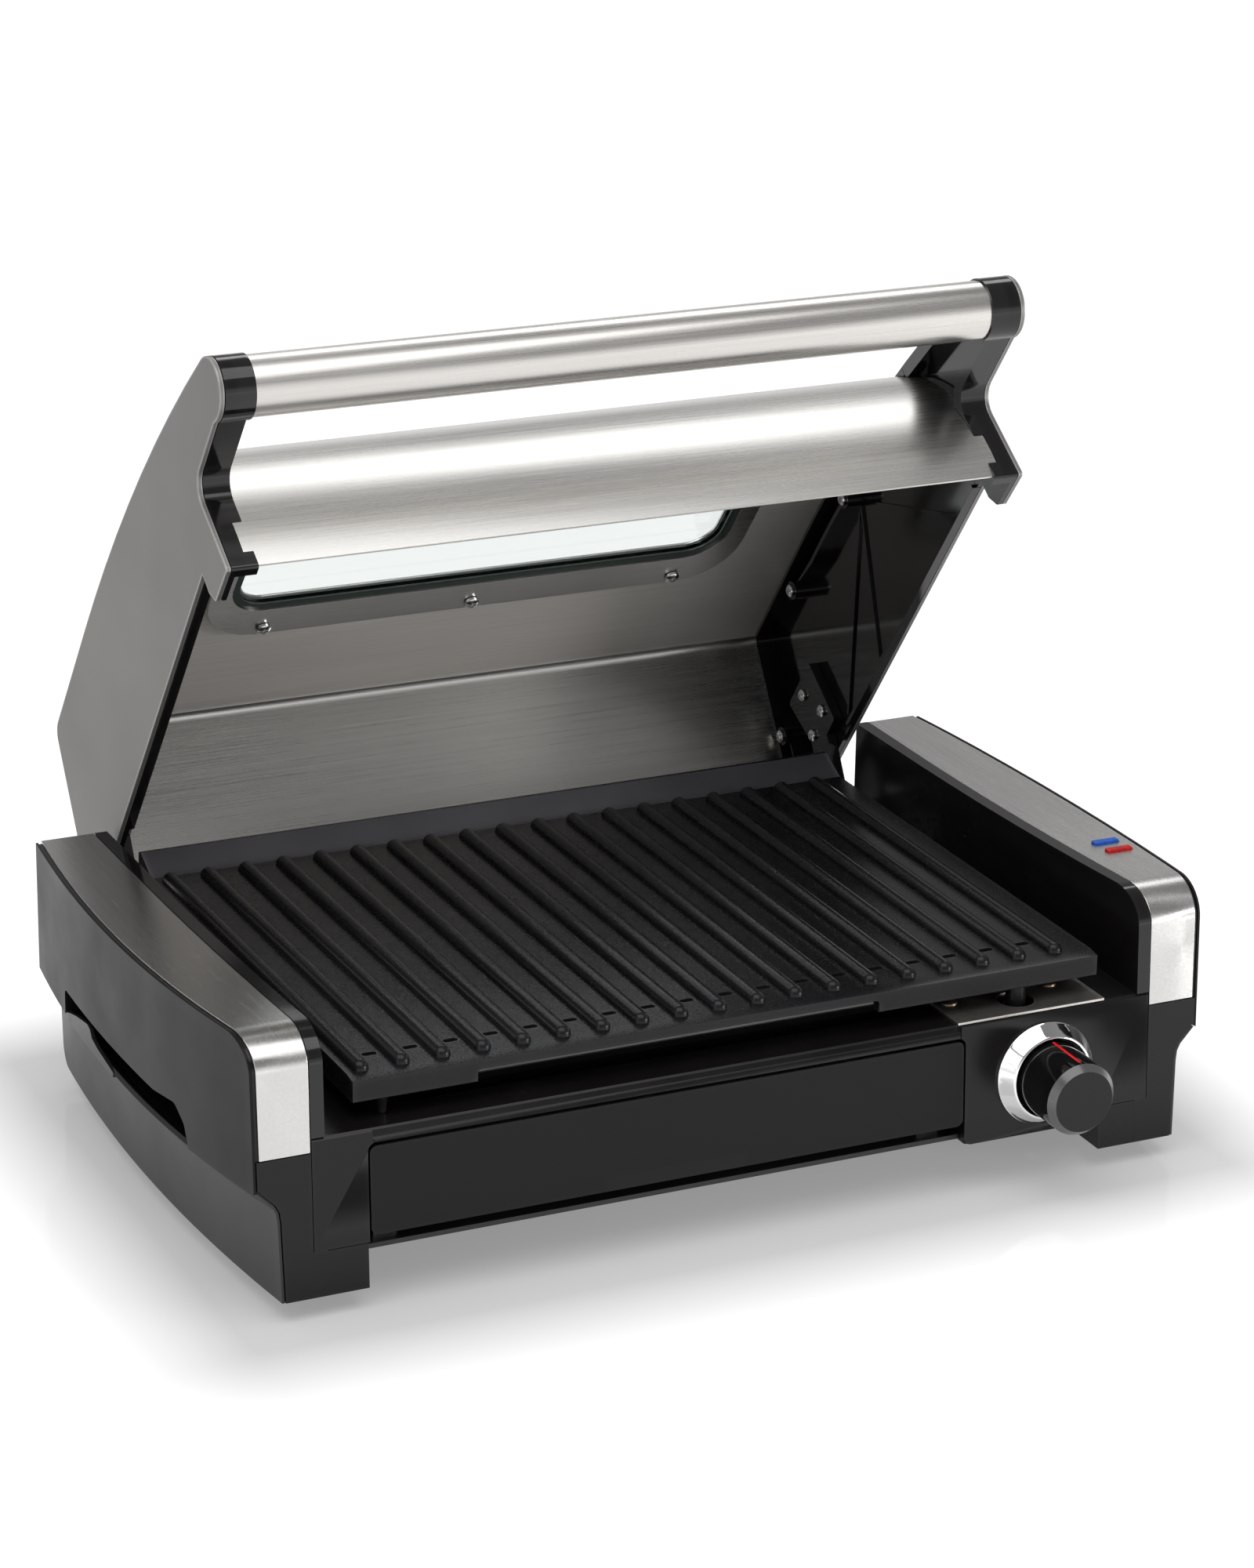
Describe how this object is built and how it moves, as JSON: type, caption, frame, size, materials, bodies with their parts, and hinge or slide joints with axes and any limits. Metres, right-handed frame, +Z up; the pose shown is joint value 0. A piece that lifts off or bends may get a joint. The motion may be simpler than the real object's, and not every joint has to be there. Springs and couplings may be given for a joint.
{
  "type": "electric indoor grill",
  "caption": "Electric indoor grill with a ribbed plate, hinged steel hood with glass window and tube handle, thermostat knob and pull-out drip tray.",
  "frame": {"origin": "middle of the whole grill's footprint with the lid open, on the table under the rubber feet", "axes": "+X to the right of someone facing the knob, +Y from the front to the rear, +Z up; the stored pose has the lid turned 53.4 degrees up from closed"},
  "size_m": [0.426, 0.3508, 0.3411],
  "materials": {
    "base_plastic": "satin black moulding",
    "cover_plastic": "matte black moulding",
    "panel_plastic": "finely textured dark grey moulding",
    "brushed_trim": "brushed from front to back",
    "foot_rubber": "matte",
    "aluminised_pan": "dull aluminised sheet",
    "element_sheath": "heat-darkened steel sheath",
    "plain_steel": "plain zinc-bright steel",
    "thermostat_body": "phenolic, ivory",
    "shaft_brass": "turned",
    "chromed": "polished chrome",
    "gloss_black": "high-gloss black moulding",
    "lens_blue": "translucent blue",
    "lens_red": "translucent red",
    "lamp_body": "off-white moulding",
    "worn_steel": "worn, with heat tint",
    "rivet_steel": "heat-tinted",
    "tray_plastic": "satin black moulding",
    "nonstick_plate": "die-cast, with a dark satin non-stick coating",
    "gland_rubber": "matte",
    "brushed_hood": "brushed along the width",
    "grey_end": "satin grey metallic",
    "clear_glass": "clear tempered glass",
    "gasket_rubber": "dark green-black",
    "frame_steel": "satin"
  },
  "bodies": {
    "base": {"base_shell": "base_plastic", "bottom_cover": "cover_plastic", "end_housing_left": "base_plastic", "end_housing_right": "base_plastic", "side_panel_left": "panel_plastic", "side_panel_right": "panel_plastic", "side_skirt_left": "panel_plastic", "side_skirt_right": "panel_plastic", "end_trim_left": "brushed_trim", "end_trim_right": "brushed_trim", "rubber_feet": "foot_rubber", "reflector_pan": "aluminised_pan", "heating_element": "element_sheath", "element_clips": "plain_steel", "thermostat": "thermostat_body", "knob_bezel": "chromed", "lamp_lens_blue": "lens_blue", "lamp_lens_red": "lens_red", "lamp_holder": "lamp_body", "locating_plate": "worn_steel", "plate_rivets": "rivet_steel", "tray_runners": "plain_steel", "hinge_pin_left": "plain_steel", "hinge_pin_right": "plain_steel", "cord_gland": "gland_rubber", "base_screws": "plain_steel"},
    "lid": {"hood_sheet": "brushed_hood", "lid_end_left": "grey_end", "lid_end_right": "grey_end", "lid_liner_left": "gloss_black", "lid_liner_right": "gloss_black", "handle_bracket_left": "gloss_black", "handle_bracket_right": "gloss_black", "handle_tube": "brushed_hood", "hinge_block_left": "gloss_black", "hinge_block_right": "gloss_black", "window_glass": "clear_glass", "window_gasket": "gasket_rubber", "window_frame": "frame_steel", "window_screws": "plain_steel", "lid_screws": "plain_steel"},
    "knob": {"knob": "gloss_black", "thermostat_shaft": "shaft_brass"},
    "tray": {"drip_tray": "tray_plastic"},
    "plate": {"grill_plate": "nonstick_plate"}
  },
  "joints": [
    {"name": "lid_hinge", "type": "hinge", "parent": "base", "child": "lid", "pos_m": [0, 0.09758, 0.0669], "axis": [1, 0, 0], "range_deg": [0, 53.4]},
    {"name": "knob_turn", "type": "hinge", "parent": "base", "child": "knob", "pos_m": [0.133, -0.14592, 0.0462], "axis": [0, -1, 0], "range_deg": [0, 270]},
    {"name": "tray_slide", "type": "slide", "parent": "base", "child": "tray", "axis": [0, -1, 0], "range_m": [0, 0.18]},
    {"name": "plate_lift", "type": "slide", "parent": "base", "child": "plate", "axis": [0, 0, 1], "range_m": [0, 0.012]}
  ]
}
